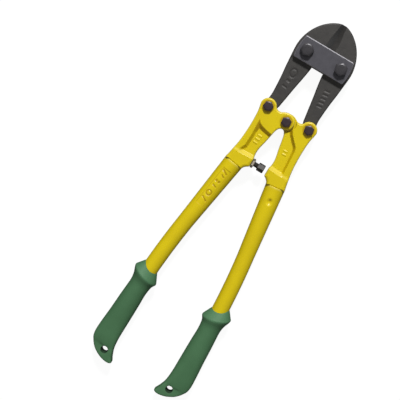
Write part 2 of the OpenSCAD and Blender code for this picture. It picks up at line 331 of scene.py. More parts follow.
def face_mark(plan, away, face):
    """A face's mark: edges paler as wear and as a painted highlight, a painted highlight on the block's
    slope, less painted shade on the pocket's wall and a disc of painted shadow round the link bolt.
    """
    y, down = plan[..., 1], down_arm(plan)
    inside = depth_in(plan, face["pocket"])
    width = along_or_across(y, face["wall"])
    wall = smooth(inside, -.3, .8) * (1 - smooth(inside, width - .5, width + 1.2))
    # Painted shade on the pocket's wall, and a painted shadow round the link bolt
    bolt_shadow = bolt_shade_disc(np.linalg.norm(plan - LINK, axis=-1))
    painted_shade = np.maximum(along_or_across(y, face["shade"]) * wall, bolt_shadow)
    # Painted highlight on the block's slope, where the light catches it
    slope = smooth(down, 49.0, 50.6) * (1 - smooth(down, 52.4, 54.2)) * smooth(inside, -1, 1)
    # Edges paler as wear and as a painted highlight
    light_and_wear = np.maximum(1 - smooth(away, .2, 1.6), .9 * slope)
    return light_and_wear - painted_shade * smooth(away, .2, 2) * (1 - smooth(down, 46.5, 49.5))


def slotted_wall(edge, hi, lo):
    """Wall between the two faces' borders. Round the link eye it is pushed in, between the heights SLOT and
    -SLOT, to an arc behind the eye: that is the fork's slot for the jaw's tang."""
    from_link = edge - LINK
    angle = np.degrees(np.arctan2(from_link[:, 1], from_link[:, 0]))
    on_eye = (np.abs(np.hypot(*from_link.T) - EYE) < 1.0) & (angle > -30) & (angle < 152)
    beside_eye = (angle <= -20) & (edge[:, 1] > 1.0) & (edge[:, 0] > 30)
    mouth = on_eye | beside_eye
    share = np.clip((152 - angle) / 178, 0, 1)          # 0 at the slot's inner end, 1 at its outer end
    reach = EYE - 0.8 * np.sin(math.pi * share)
    deep = np.where(mouth[:, None], LINK + reach[:, None] * way(158 + 176 * share), edge)
    up = np.where(mouth, SLOT, (3 * hi + lo) / 4)
    low = np.where(mouth, -SLOT, (hi + 3 * lo) / 4)
    half_way = (edge + deep) / 2
    rows = [(edge, hi), (edge, (hi + up) / 2), (edge, up), (half_way, up), (deep, up), (deep, (up + low) / 2),
            (deep, low), (half_way, low), (edge, low), (edge, (lo + low) / 2), (edge, lo)]
    return np.stack([np.column_stack(row) for row in rows])


def add_half_lap(skin, outline):
    """Adds the half lap, from just below the mid plane to the back face: rings from the centre bolt's middle
    out to lap_reach(). Its edge is rounded only where it is the head's real outline."""
    degrees = np.linspace(-180, 180, 241)
    share = 1 - (1 - np.linspace(0, 1, 50)) ** 1.6
    out = share[:, None] * lap_reach(degrees)
    flat = out[..., None] * way(degrees)
    to_edge = gap(flat, outline)
    hidden = 0.4 * smooth(out, LAP_R, LAP_R + .6)       # where it is inside the arm
    low = drop(to_edge, EYE_ROUND) - FACE + hidden
    high = -LAP_GAP - 0.4 * (1 - smooth(to_edge, 0, .5)) - hidden
    # Paler on the rounded edge as wear and as a painted highlight, less a painted shadow round the centre
    # bolt
    light_and_wear = 1 - smooth(to_edge, .2, 1.6) - bolt_shade_disc(out) * smooth(to_edge, .2, 2)
    skin.grid(np.dstack([flat, high])).grid(np.dstack([flat, low]), light_and_wear)
    skin.grid(curtain(flat[-1], between(high[-1], low[-1], 4)))


def head():
    """A handle head. The main part is a patch between its four sides, each face lowered near its outline by a
    rounded edge, with a slotted wall between the faces. The half lap is a second closed part."""
    v = np.concatenate([[0, .0015, .004, .0075], np.linspace(.0115, .3, 90)[:-1],
                        np.linspace(.3, ARM_END, 110)[:-1], ARM_END + (1 - ARM_END) * crowded(60)])
    plan = patch(HEAD_INNER, HEAD_OUTER, HEAD_SEAM, HEAD_TOP, crowded(110), v)
    t = np.linspace(0, 1, 220)
    round_lap = np.concatenate([np.arange(LAP_FROM, -181, -3.0), np.arange(177, LAP_TO - 1, -3.0)])
    lap_line = lap_reach(round_lap)[:, None] * way(round_lap)
    outline = np.vstack([HEAD_INNER(t * ARM_END), lap_line, HEAD_TOP(t), HEAD_OUTER(t)[::-1]])
    away = gap(plan, outline)
    edge_r = EYE_ROUND + (BLOCK_ROUND - EYE_ROUND) * smooth(-plan[..., 1], 52, 60)
    to_seam = gap(plan, HEAD_SEAM(np.linspace(0, 1, 30)))
    fall = np.maximum(drop(away, edge_r), drop(to_seam, SEAM_ROUND) * .9)
    top = face_height(plan, FRONT) - fall
    bottom = fall - face_height(plan, BACK)
    skin = Skin().grid(np.dstack([plan, top]), face_mark(plan, away, FRONT))
    skin.grid(np.dstack([plan, bottom]), face_mark(plan, away, BACK))
    skin.grid(slotted_wall(rim(plan), rim(top), rim(bottom)))
    add_half_lap(skin, outline)
    return skin


# ---------------------------------------------------------------- handle tubes

TUBE_START, TUBE_ANGLE = np.array([26.52, -66.4]), math.radians(8.16)
TUBE_R0, TUBE_R1, TAPER_L = 11.15, 9.4, 84.45
TUBE_WALL, MOUTH_ROUND = 1.9, 0.7
BEND_R, END_ANGLE, TUBE_END_Y = 869.5, math.radians(2.2), -282.0
DIMPLE_S = 17.3                  # the crimp dimple, down from the tube's mouth
# The pressed panel: its middle and half sizes, and its bars as (down, across, angle, half length, half width)
PANEL_S, PANEL_HALF_L, PANEL_HALF_W = 35.2, 24.6, 5.3
PANEL_BARS = [(14.6, -.2, 66, 4.2, .9), (19.6, .8, 66, 2.6, .8), (27.2, 1.7, 0, 1.6, 1.4),
              (27.2, -2.0, 0, 1.6, 1.4), (33.4, 0, 75, 3.0, .8), (51.4, .2, 66, 4.2, .85)]
PANEL_RING = (43.0, 0, 3.0, 3.0, .8)


def tube_relief(s, degrees, radius):
    """How deep the tube is pressed in, and its mark, s mm from its mouth and round it by angle: a dimple on
    the front, and on the back a long panel with plain bars, dots and a ring sunk in it. The mark is a painted
    highlight on the rounded mouth, and painted shade in the sunk signs, along the panel's border and on the
    dimple's upper side."""
    front = np.radians(degrees - 90) * radius
    back = np.radians(270 - degrees) * radius
    dimple = 1 - smooth(np.hypot(front + .3, (s - DIMPLE_S) / 1.25), .4, 4.2)
    dimple_shade = 1 - smooth(np.hypot(front + .3, (s - DIMPLE_S + 2.4) / 1.1), .5, 2.3)
    panel = 1 - smooth(np.maximum(np.abs(back) - PANEL_HALF_W, np.abs(s - PANEL_S) - PANEL_HALF_L), -.9, .4)
    signs = panel * np.minimum(sum(bar(s, back, *m) for m in PANEL_BARS) + ring_mark(s, back, *PANEL_RING), 1)
    # Painted shade along the panel's border
    border = smooth(panel, 0, .35) * (1 - smooth(panel, .65, 1))
    mouth = smooth(s, .1, .4) * (1 - smooth(s, 1.4, 2.4))
    # The mark: a painted highlight on the mouth, less painted shade in the signs, on the border and on the
    # dimple's upper side
    return (1.5 * dimple + .32 * panel + .5 * signs,
            .9 * mouth - np.clip(.95 * signs + .8 * border + .8 * dimple_shade, 0, 1))


def tube():
    """A tube: a round section carried along a path that starts 8 degrees outwards and bends back to 2, while
    its radius tapers. The section goes out along the outside and back along the bore."""
    fine = np.linspace(0, 240, 2401)
    heading = np.maximum(TUBE_ANGLE - np.maximum(fine - TAPER_L, 0) / BEND_R, END_ANGLE)
    step = np.diff(fine, prepend=0)
    path = TUBE_START + np.stack([np.cumsum(np.sin(heading) * step), -np.cumsum(np.cos(heading) * step)], -1)
    last = np.interp(-TUBE_END_Y, -path[:, 1], fine)
    outside = np.concatenate([[0, .05, .2, .45, .8, 1.2], np.linspace(2, 8, 5), np.linspace(8.5, 62, 128),
                              np.linspace(65, last - 1, 50), [last]])
    bore = np.array([last, last - 60, 150, 90, 40, 8, 1.0, 0.3, 0.0])
    n, s = len(outside), np.concatenate([outside, bore])
    full = TUBE_R0 + (TUBE_R1 - TUBE_R0) * np.clip(s / TAPER_L, 0, 1)
    degrees = np.linspace(0, 360, 193)
    deep, mark = tube_relief(outside[:, None], degrees[None], full[:n, None])
    r = np.repeat(full[:, None], len(degrees), 1)
    r[:n] -= drop(outside, MOUTH_ROUND)[:, None] * .95 + deep
    r[n - 1] -= .3
    r[n:] -= TUBE_WALL
    r[-1] += .5
    centre = np.stack([np.interp(s, fine, path[:, k]) for k in (0, 1)], -1)
    sideways = way(np.degrees(np.interp(s, fine, heading)))
    a = np.radians(degrees)
    flat = centre[:, None] + sideways[:, None] * (r * np.cos(a))[..., None]
    rings = np.dstack([flat, r * np.sin(a)])
    marks = np.vstack([mark, np.zeros((len(bore), len(degrees)))])
    return Skin().grid(rings, marks).grid(rings[[-1, 0]])


# ---------------------------------------------------------------- grips

# Rows of (share along, inner x, inner y, outer x, outer y, half height, squareness, bulge towards the end)
GRIP_ROWS = np.array([
    (.000, 36.6, -219.2, 53.4, -212.4, 8.6, 2.0, 3.2),
    (.006, 35.95, -218.9, 54.2, -211.6, 9.6, 2.0, 3.2),
    (.014, 35.5, -219.5, 55.0, -212.0, 10.3, 2.0, 3.2),
    (.040, 33.9, -223.0, 57.8, -215.4, 12.6, 2.0, 2.8),
    (.070, 31.9, -227.2, 60.7, -219.2, 15.1, 2.0, 2.2),
    (.080, 31.0, -229.2, 61.75, -220.4, 15.85, 2.0, 1.9),
    (.088, 30.6, -230.6, 62.1, -221.4, 15.97, 2.0, 1.7),
    (.096, 30.9, -231.8, 61.95, -222.7, 15.8, 2.0, 1.5),
    (.106, 31.9, -233.4, 61.2, -225.2, 15.1, 2.0, 1.3),
    (.122, 33.3, -236.2, 59.7, -229.4, 13.7, 2.0, 1.0),
    (.140, 34.1, -239.8, 58.6, -234.4, 12.6, 2.0, .6),
    (.165, 34.6, -244.0, 58.3, -240.6, 12.15, 2.0, .2),
    (.200, 34.95, -250.0, 58.9, -248.6, 12.05, 2.0, 0),
    (.280, 34.85, -262.0, 59.9, -261.4, 11.85, 2.05, 0),
    (.400, 35.0, -280.0, 61.1, -280.0, 11.1, 2.15, 0),
    (.500, 35.2, -292.0, 62.15, -292.0, 10.2, 2.3, 0),
    (.570, 35.35, -301.0, 62.85, -301.0, 9.4, 2.6, 0),
    (.620, 35.3, -307.0, 63.2, -307.4, 8.75, 3.0, 0),
    (.660, 35.1, -311.6, 63.1, -312.4, 8.1, 3.5, 0),
    (.700, 34.75, -315.8, 62.2, -317.0, 7.4, 4.2, 0),
    (.735, 34.3, -319.2, 60.4, -320.4, 6.8, 5.2, 0),
    (.780, 33.5, -322.8, 57.6, -324.4, 6.5, 6.0, 0),
    (.830, 32.4, -325.9, 53.2, -328.9, 6.5, 6.0, 0),
    (.870, 31.4, -328.3, 48.6, -332.0, 6.5, 6.0, 0),
    (.905, 30.5, -330.2, 44.0, -334.3, 6.5, 6.0, 0),
    (.935, 29.6, -331.9, 39.4, -335.7, 6.45, 5.6, 0),
    (.965, 28.85, -333.4, 35.0, -336.3, 6.3, 5.0, 0),
    (.985, 28.6, -334.4, 32.0, -336.2, 5.6, 4.0, 0),
    (1.00, 28.75, -335.3, 29.9, -335.9, 3.0, 2.4, 0)])
# The hang hole: its middle, radius and rounded lip, its direction along the grip and the one across that, and
# the shares between which the grip's rungs end on it
HOLE, HOLE_R, LIP = np.array([43.0, -324.3]), 4.0, 0.6
HOLE_AXIS, HOLE_CROSS = np.array([0.42, 0.9075]), np.array([0.9075, -0.42])
HOLE_FROM, HOLE_TO = .752, .868
END_HALF = 6.5                   # half the thickness round the hole
MOUTH_BULGE = 2.0                # how far the grip's mouth stands out in its middle
COLLAR_END = .088                # share where the collar's slope ends, which is painted paler as a highlight


def half_rungs(start, end, high, square, bulge, back_way):
    """Halves of the rungs, from start out to end, in plan and in height: high (1 - q^n)^(1/n) at the share q
    of the way out, with n the squareness. They bulge towards the grip's mouth."""
    theta, power = np.radians(np.linspace(0, 90, 25)), 2 / square[:, None]
    q = np.sin(theta) ** power
    flat = start[:, None] + (end - start)[:, None] * q[..., None]
    flat = flat + back_way[:, None] * (bulge[:, None] * (1 - q ** 2))[..., None]
    return flat, high[:, None] * np.cos(theta) ** power


def add_hole_wall(skin, turned, lip_height):
    """Adds the hang hole's wall, with a quarter round at each lip: turned is the angle of each rung that ends
    on the hole, and lip_height the face's own height there."""
    q = np.radians(np.linspace(0, 90, 7))
    lip, rise = HOLE_R + LIP * (1 - np.sin(q)), END_HALF - LIP * (1 - np.cos(q))
    radius = np.concatenate([lip, [HOLE_R] * 3, lip[::-1]])
    height = np.concatenate([rise, [3, 0, -3], -rise[::-1]])
    circle = np.concatenate([turned, 2 * math.pi - turned[-2::-1]])[:, None]
    outwards = HOLE_AXIS * np.cos(circle) + HOLE_CROSS * np.sin(circle)
    heights = np.repeat(height[:, None], len(circle), 1)
    heights[0] = np.concatenate([lip_height, lip_height[-2::-1]])
    heights[-1] = -heights[0]
    wall = np.dstack([HOLE + outwards * radius[:, None, None], heights])
    # The wall inside the lips is marked for painted shade, nearly black
    skin.grid(wall, np.where(radius < HOLE_R + .45, -1.0, 0.0)[:, None])


def grip():
    """A grip: rungs run from the inner edge to the outer edge, each in two halves that meet on a spine. Where
    the hang hole is, the halves start at its edge instead of meeting."""
    along = np.unique(np.concatenate([np.linspace(0, .2, 70), np.linspace(.2, .70, 70),
                                      np.linspace(.70, HOLE_FROM, 16), np.linspace(HOLE_FROM, HOLE_TO, 33),
                                      np.linspace(HOLE_TO, 1, 34)]))
    row = through(GRIP_ROWS[:, 1:], np.interp(along, GRIP_ROWS[:, 0], np.arange(len(GRIP_ROWS))))
    inner, outer = row[:, 0:2], row[:, 2:4]
    high, square, bulge = row[:, 4], np.maximum(row[:, 5], 2), row[:, 6]
    middle = (inner + outer) / 2
    turned = np.clip((along - HOLE_FROM) / (HOLE_TO - HOLE_FROM), 0, 1) * math.pi
    on_hole = HOLE + HOLE_AXIS * np.cos(turned)[:, None] * (HOLE_R + LIP)
    sway = HOLE_CROSS * np.sin(turned)[:, None] * (HOLE_R + LIP)
    near = (smooth(along, .56, HOLE_FROM) * (1 - smooth(along, HOLE_TO, .99)))[:, None]
    at = (along >= HOLE_FROM) & (along <= HOLE_TO)
    spine = np.where(at[:, None], on_hole, middle * (1 - near) + on_hole * near)
    sway = np.where(at[:, None], sway, 0)
    back_way = np.stack([outer[:, 1] - inner[:, 1], inner[:, 0] - outer[:, 0]], -1)
    back_way /= np.linalg.norm(back_way, axis=1)[:, None]
    # The collar's slope is painted paler as a highlight
    light_and_wear = (1 - smooth(along, COLLAR_END, .1))[:, None]
    skin, halves = Skin(), []
    for start, end in ((spine - sway, inner), (spine + sway, outer)):
        flat, z = half_rungs(start, end, high, square, bulge, back_way)
        skin.grid(np.dstack([flat, z]), light_and_wear).grid(np.dstack([flat, -z]), light_and_wear)
        halves.append(np.dstack([flat, z]))
    # The mouth closes round the tube, and the tip closes on itself
    below = np.array([1, 1, -1])
    for k, out in ((0, MOUTH_BULGE), (-1, 0.0)):
        left, right = halves[0][k], halves[1][k]
        loop = np.vstack([left[::-1], right[1:], (right * below)[-2::-1], (left * below)[1:]])
        heart = np.append(middle[k] + back_way[k] * out, 0)
        skin.grid(np.stack([loop, heart + (loop - heart) * .5, np.broadcast_to(heart, loop.shape)]))
    add_hole_wall(skin, turned[at], high[at])
    return skin


# ---------------------------------------------------------------- jaws and straps

TIP_Y, DOME_Y, DOME_H, DOME_W, DOME_POWER = 119.2, 75.0, 44.2, 33.75, 0.6
CUT_FROM = 80                    # the cutting edge starts here
TOP_X = 15.0                     # the jaw's outer side gives over to its top here


def dome_x(y):
    """Half width of the closed jaws: 33.75 (1 - ((y - 75) / 44.2)^2)^0.6."""
    return DOME_W * np.maximum(1 - ((np.asarray(y, float) - DOME_Y) / DOME_H) ** 2, 0) ** DOME_POWER


def dome_y(x):
    """The same outline by its half width."""
    return DOME_Y + DOME_H * np.sqrt(np.maximum(1 - (np.asarray(x, float) / DOME_W) ** (1 / DOME_POWER), 0))


def up_jaw(y):
    """How far up a jaw a height is, as a share."""
    return (y - 2.3) / 117


def by_height(places):
    """Rows of (share, x, y) for a jaw's side."""
    return [(up_jaw(y), x, y) for x, y in places]


tang_eye = arc(LINK, 7.2, 200, 340, 15)
dome_rows = np.linspace(76, dome_y(TOP_X), 12)
top_x = np.linspace(0, TOP_X, 13)
JAW_INNER = side(by_height([tang_eye[0], (17.0, 5.6), (15.4, 9.8), (14.55, 15), (13.7, 20), (12.15, 30),
                            (10.5, 40), (8.7, 50), (7.2, 60), (6.8, 64), (5.6, 68), (2.4, 72), (.6, 76),
                            (0, 80), (0, 90), (0, 105), (0, 114), (0, TIP_Y)]))
JAW_OUTER = side(by_height([tang_eye[-1], (31.6, 6.4), (30.3, 10.6), (29.5, 16), (29.35, 21), (29.85, 30),
                            (30.6, 40), (31.75, 50), (32.65, 60), (33.1, 66), (33.5, 71)])
                 + by_height(zip(dome_x(dome_rows[:-1]), dome_rows)) + [(1, TOP_X, dome_rows[-1])])
JAW_BOTTOM = even_side(tang_eye)
JAW_TOP = even_side(np.column_stack([top_x, dome_y(top_x)]))


def jaw(bars, rings, ground_and_shade):
    """A jaw: a patch from the link eye to the tip, thicker in the blade than in the tang, with rounded edges,
    a bevel ground down to the cutting edge, and shallow bars and rings sunk in the tang's front."""
    v = np.concatenate([np.linspace(0, .66, 120)[:-1], .66 + .34 * (1 - (1 - np.linspace(0, 1, 90)) ** 1.3)])
    plan = patch(JAW_INNER, JAW_OUTER, JAW_BOTTOM, JAW_TOP, crowded(90), v)
    x, y = plan[..., 0], plan[..., 1]
    t = np.linspace(0, 1, 200)
    away_out = gap(plan, np.vstack([JAW_BOTTOM(t), JAW_OUTER(t), JAW_TOP(t)[::-1]]))
    away_in = gap(plan, JAW_INNER(np.linspace(0, up_jaw(66), 120)))
    half = 4.0 + 1.5 * smooth(y, 61.5, 66)
    forged = half - drop(away_out, 1.6) - drop(away_in, 1.5 - .9 * smooth(y, 55, 62))
    width = 6.0 - 2.5 * smooth(y, 96, 117)
    cuts = y > CUT_FROM
    ground = np.where(cuts, 0.5 + 5.0 * np.maximum(x, 0) / width, 9)
    # The bevel's mark gives it the paler ground colour, in the share given by the third argument: a lower
    # share paints shade on a bevel that faces the light
    bevel = smooth(forged - ground, -0.1, 0.35) * cuts * ground_and_shade
    z = np.maximum(np.minimum(forged, ground), 0.35)
    signs = sum(bar(x, y, *m) for m in bars) + sum(ring_mark(x, y, *m) for m in rings)
    return slab(plan, z - np.minimum(0.45 * signs, 0.5), -z, bevel)


STRAP_LOW, STRAP_HIGH, STRAP_IN, STRAP_OUT = 64.0, 90.0, 5.6, 9.8
STRAP_INSET = 2.35               # the straps' sides run this far inside the jaws' curve


def strap_side(sign):
    """Rows of a strap's side: the jaws' curve, set in, with a small corner at each end."""
    ys = np.linspace(STRAP_LOW + 1.6, STRAP_HIGH - 1.0, 12)
    xs = dome_x(ys) - STRAP_INSET
    rows = [(0, xs[0] - 1.7, STRAP_LOW), (.03, xs[0] - .5, STRAP_LOW + .45)]
    rows += [(.06 + .88 * k / 11, x, y) for k, (x, y) in enumerate(zip(xs, ys))]
    rows += [(.97, xs[-1] - .55, STRAP_HIGH - .3), (1, xs[-1] - 1.3, STRAP_HIGH)]
    return np.array(rows) * (1, sign, 1)


def strap(sign):
    """A side strap: a patch between its two curved sides, straight at the top and the bottom, with rounded
    edges on its outer face. Its edges are painted a little paler all round as wear, and much paler along the
    top edge as a painted highlight."""
    left, right = strap_side(-1), strap_side(1)
    bottom, top = even_side([left[0, 1:], right[0, 1:]]), even_side([left[-1, 1:], right[-1, 1:]])
    plan = patch(side(left), side(right), bottom, top, crowded(150, .8), crowded(90, .8))
    away = gap(plan, rim(plan))
    # Painted highlight along the top edge, and a little paler elsewhere on the edges as wear
    light_and_wear = (1 - smooth(away, .5, 1.25)) * (.25 + .75 * smooth(plan[..., 1], 88.2, 89.0))
    return slab(plan, sign * (STRAP_OUT - drop(away, 1.15)), sign * (STRAP_IN + drop(away, 0.3)), light_and_wear)


# ---------------------------------------------------------------- bolts, nuts, washers, stop screw

AROUND = np.radians(np.linspace(0, 360, 97))
CONE = math.tan(math.radians(30))      # slope of the cone that cuts a hexagon's corners


def hex_reach(flats):
    """Distance from a hexagon's middle to its side at each angle, for a size across flats."""
    return flats / 2 / np.cos((AROUND + math.pi / 6) % (math.pi / 3) - math.pi / 6)


def turned_rings(rows):
    """Rings round an axis from rows of (kind, size, height). 'round' has that radius, and 'hex' and 'chamfer'
    have that size across flats. A chamfer's corners are cut by a cone: the row also has the radius where the
    cone starts, and 1 if it falls away or -1 if it rises."""
    made = []
    for kind, size, height, *cone in rows:
        reach = np.full(len(AROUND), float(size)) if kind == "round" else hex_reach(size)
        high = np.full(len(AROUND), float(height))
        if kind == "chamfer":
            start, down = cone
            high -= down * np.maximum(reach - start, 0) * CONE
        made.append(np.column_stack([reach * np.cos(AROUND), reach * np.sin(AROUND), high]))
    return np.stack(made)


def thread_rings(radius, start, end, pitch, deep):
    """A screw thread's rings from start to end: the radius falls by a triangle wave of height less turn."""
    z = np.linspace(start, end, int(abs(end - start) / pitch * 8) + 1)[:, None]
    wave = np.abs((z / pitch - AROUND / (2 * math.pi)) % 1 * 2 - 1)
    fade = np.minimum(smooth(np.abs(z - start), 0, .8), smooth(np.abs(z - end), 0, .8))
    r = radius - deep * np.clip(wave * 1.25 - .1, 0, 1) * fade
    return np.dstack([r * np.cos(AROUND), r * np.sin(AROUND), np.repeat(z, len(AROUND), 1)])


def hex_bolt(flats, high, shank, seat, end):
    """A hex bolt's rings: flat top, chamfered head, washer face, shank, and a threaded end with a chamfer."""
    top, flat_r = seat + high, flats * .41
    head_and_shank = turned_rings([
        ("round", 0, top), ("round", flats * .2, top), ("round", flat_r - .3, top),
        ("round", flat_r, top - .04), ("chamfer", flats, top - .08, flat_r, 1),
        ("hex", flats, seat + .35), ("hex", flats - .3, seat + .12),
        ("round", flats * .47, seat), ("round", shank + .02, seat), ("round", shank, seat - .3),
        ("round", shank, end + 5.6)])
    tail = turned_rings([("round", shank - .6, end + .1), ("round", shank - .75, end), ("round", 0, end)])
    return np.concatenate([head_and_shank, thread_rings(shank, end + 5.5, end + .8, 1.0, .45), tail])


def hex_nut(flats, low, high, bore):
    """A hex nut's rings: both faces chamfered, with a countersunk bore."""
    flat_r = flats * .47
    rings = turned_rings([
        ("round", bore, low + .5), ("round", bore + .45, low), ("round", flat_r - .2, low),
        ("round", flat_r, low + .05), ("chamfer", flats, low + .1, flat_r, -1),
        ("chamfer", flats, high - .1, flat_r, 1), ("round", flat_r, high - .05), ("round", flat_r - .2, high),
        ("round", bore + .45, high), ("round", bore, high - .5)])
    return np.concatenate([rings, rings[:1]])


def washer(radius, low, high, bore):
    """A washer's rings: a small round on each outer edge."""
    rings = turned_rings([
        ("round", bore, low), ("round", radius - .35, low), ("round", radius - .1, low + .1),
        ("round", radius, low + .35), ("round", radius, high - .35), ("round", radius - .1, high - .1),
        ("round", radius - .35, high), ("round", bore, high)])
    return np.concatenate([rings, rings[:1]])


def stop_screw():
    """The stop screw's rings, with their axis still along Z: dished hex head, thread, and a plain end."""
    head_part = turned_rings([
        ("round", 0, 5.9), ("round", 2.2, 5.9), ("round", 2.7, 6.2), ("round", 3.9, 6.2),
        ("chamfer", 8.6, 6.1, 4.0, 1), ("hex", 8.6, -1.3), ("round", 4.0, -1.6), ("round", 3.05, -1.6)])
    end_part = turned_rings([("round", 2.4, -23.5), ("round", 0, -23.6)])
    return np.concatenate([head_part, thread_rings(3.0, -1.7, -23.0, 1.25, .55), end_part])


def spun(rings, degrees):
    """The rings turned about their own axis."""
    c, s = way(degrees)
    return rings @ np.array([(c, s, 0), (-s, c, 0), (0, 0, 1)])


def laid(rings):
    """The rings with their axis turned from Z to X."""
    return rings[..., [2, 0, 1]]


def hardware(node, rings, at, body, slot, paint):
    """Makes a turned piece from its rings, at a point, in place of a node."""
    Skin().grid(rings + np.asarray(at, float)).finish(f"{node}_turned", body, slot, paint, node)


# ---------------------------------------------------------------- materials

class Num:
    """A number in a material. Sums, products and powers of it add the Math nodes that work them out."""

    def __init__(self, paint, socket):
        self.paint, self.socket = paint, socket

    def _sum(self, kind, a, b):
        return self.paint.node("ShaderNodeMath", {"operation": kind}, {0: a, 1: b})

    def __add__(self, other):
        return self._sum("ADD", self, other)

    def __radd__(self, other):
        return self._sum("ADD", other, self)

    def __sub__(self, other):
        return self._sum("SUBTRACT", self, other)

    def __rsub__(self, other):
        return self._sum("SUBTRACT", other, self)

    def __mul__(self, other):
        return self._sum("MULTIPLY", self, other)

    def __rmul__(self, other):
        return self._sum("MULTIPLY", other, self)

    def between(self, lo, hi):
        """0 below lo, 1 above hi, smooth between."""
        return self.paint.node("ShaderNodeMapRange", {"interpolation_type": "SMOOTHSTEP"},
                               {"Value": self, "From Min": lo, "From Max": hi})


class Paint:
    """One material while it is made: node() adds any node, and skin is its main shader."""

    def __init__(self, name):
        self.mat = bpy.data.materials.new(name)
        self.mat.use_nodes = True
        self.tree = self.mat.node_tree
        self.tree.nodes.clear()
        end = self.tree.nodes.new("ShaderNodeOutputMaterial")
        self.skin = self.tree.nodes.new("ShaderNodeBsdfPrincipled")
        self.tree.links.new(self.skin.outputs[0], end.inputs[0])
        self.place = self.node("ShaderNodeTexCoord", {}, {}, "Object")
        self.mark = self.node("ShaderNodeAttribute", {"attribute_name": "mark"}, {}, "Fac")

    def light_wear_and_shade(self):
        """The share of paler surface, from wear and painted highlights, and the share of painted shade, from
        the mark.
        """
        return self.mark.between(0, 1), (0 - self.mark).between(0, 1)

    def put(self, socket, value):
        """Links a number or sets it. A colour's alpha is 1."""
        if isinstance(value, Num):
            self.tree.links.new(value.socket, socket)
        elif isinstance(value, tuple) and socket.type == "RGBA":
            socket.default_value = (*value, 1.0)
        else:
            socket.default_value = value

    def node(self, kind, settings, sockets, out=0):
        """Adds a node: its settings first, then its sockets' values or links. Gives its output."""
        made = self.tree.nodes.new(kind)
        for key, value in settings.items():
            setattr(made, key, value)
        for key, value in sockets.items():
            self.put(made.inputs[key], value)
        return Num(self, made.outputs[out])

    def noise(self, scale, detail, rough, stretch=None):
        """Noise on the piece's own place, per metre, drawn out by stretch."""
        place = self.place
        if stretch:
            place = self.node("ShaderNodeMapping", {}, {"Vector": place, "Scale": stretch})
        sockets = {"Vector": place, "Scale": scale, "Detail": detail, "Roughness": rough}
        return self.node("ShaderNodeTexNoise", {}, sockets, "Fac")

    def mix(self, share, a, b):
        """Colour a at share 0 and b at share 1: inputs 6 and 7, and output 2, are the node's colours."""
        return self.node("ShaderNodeMix", {"data_type": "RGBA"}, {"Factor": share, 6: a, 7: b}, 2)

    def bump(self, height, strength, distance, under=None):
        """A Bump node from a height of 0 to 1 and how far that is, m."""
        sockets = {"Height": height, "Strength": strength, "Distance": distance}
        if under is not None:
            sockets["Normal"] = under
        return self.node("ShaderNodeBump", {}, sockets)

    def done(self, colour, rough, normal=None, **constants):
        """Joins what changes over the surface, sets what doesn't, and gives the material."""
        self.put(self.skin.inputs["Base Color"], colour)
        self.put(self.skin.inputs["Roughness"], rough)
        if normal is not None:
            self.put(self.skin.inputs["Normal"], normal)
        for key, value in constants.items():
            self.put(self.skin.inputs[key.replace("_", " ")], value)
        return self.mat


def yellow(name, lumps, streak):
    """Yellow stoving enamel: slow colour changes, fine orange peel, and the metal's own lumps under it. By
    the mark it is paler as wear and as a painted highlight, and dark orange-brown as painted shade.
    """
    p = Paint(name)
    light_and_wear, painted_shade = p.light_wear_and_shade()
    cloud = p.noise(26, 3, .6)
    speck = p.noise(420, 4, .65).between(.60, .78)
    colour = p.mix(cloud.between(.35, .7), (.575, .447, .0), (.545, .418, .0))
    colour = p.mix(speck * .09, colour, (.40, .28, .0))
    # Paler as wear and as a painted highlight, and dark orange-brown as painted shade
    colour = p.mix(light_and_wear * .24, colour, (.68, .60, .22))
    colour = p.mix(painted_shade * .78, colour, (.35, .21, .0))
    peel = p.bump(p.noise(1500, 2, .5), .25, .00004)
    drawn = p.bump(p.noise(900, 2, .5, (1, .04, 1)), streak, .00008, peel)
    cast = p.bump(p.noise(300, 3, .55), lumps, .0003, drawn)
    rough = .34 + cloud * .10 + speck * .12
    return p.done(colour, rough, cast, Coat_Weight=.12, Coat_Roughness=.18, Specular_IOR_Level=.28)


def vinyl():
    """Soft green vinyl: fine matt grain, slow colour changes, a slightly paler collar painted as a highlight,
    and nearly black painted shade in the hang hole.
    """
    p = Paint("green_vinyl_dip")
    light_and_wear, painted_shade = p.light_wear_and_shade()
    cloud = p.noise(22, 3, .6)
    grain = p.noise(2600, 2, .6)
    pits = p.noise(700, 3, .6)
    colour = p.mix(cloud.between(.3, .72), (.044, .120, .052), (.053, .140, .062))
    colour = p.mix(pits.between(.58, .8) * .3, colour, (.038, .102, .044))
    # Paler on the collar as a painted highlight, and nearly black as painted shade in the hang hole
    colour = p.mix(light_and_wear * .28, colour, (.075, .190, .098))
    colour = p.mix(painted_shade * .8, colour, (.010, .026, .012))
    normal = p.bump(grain, .35, .00006, p.bump(p.noise(120, 2, .5), .25, .0004))
    return p.done(colour, .60 + grain * .12 - cloud * .06, normal, Specular_IOR_Level=.32)


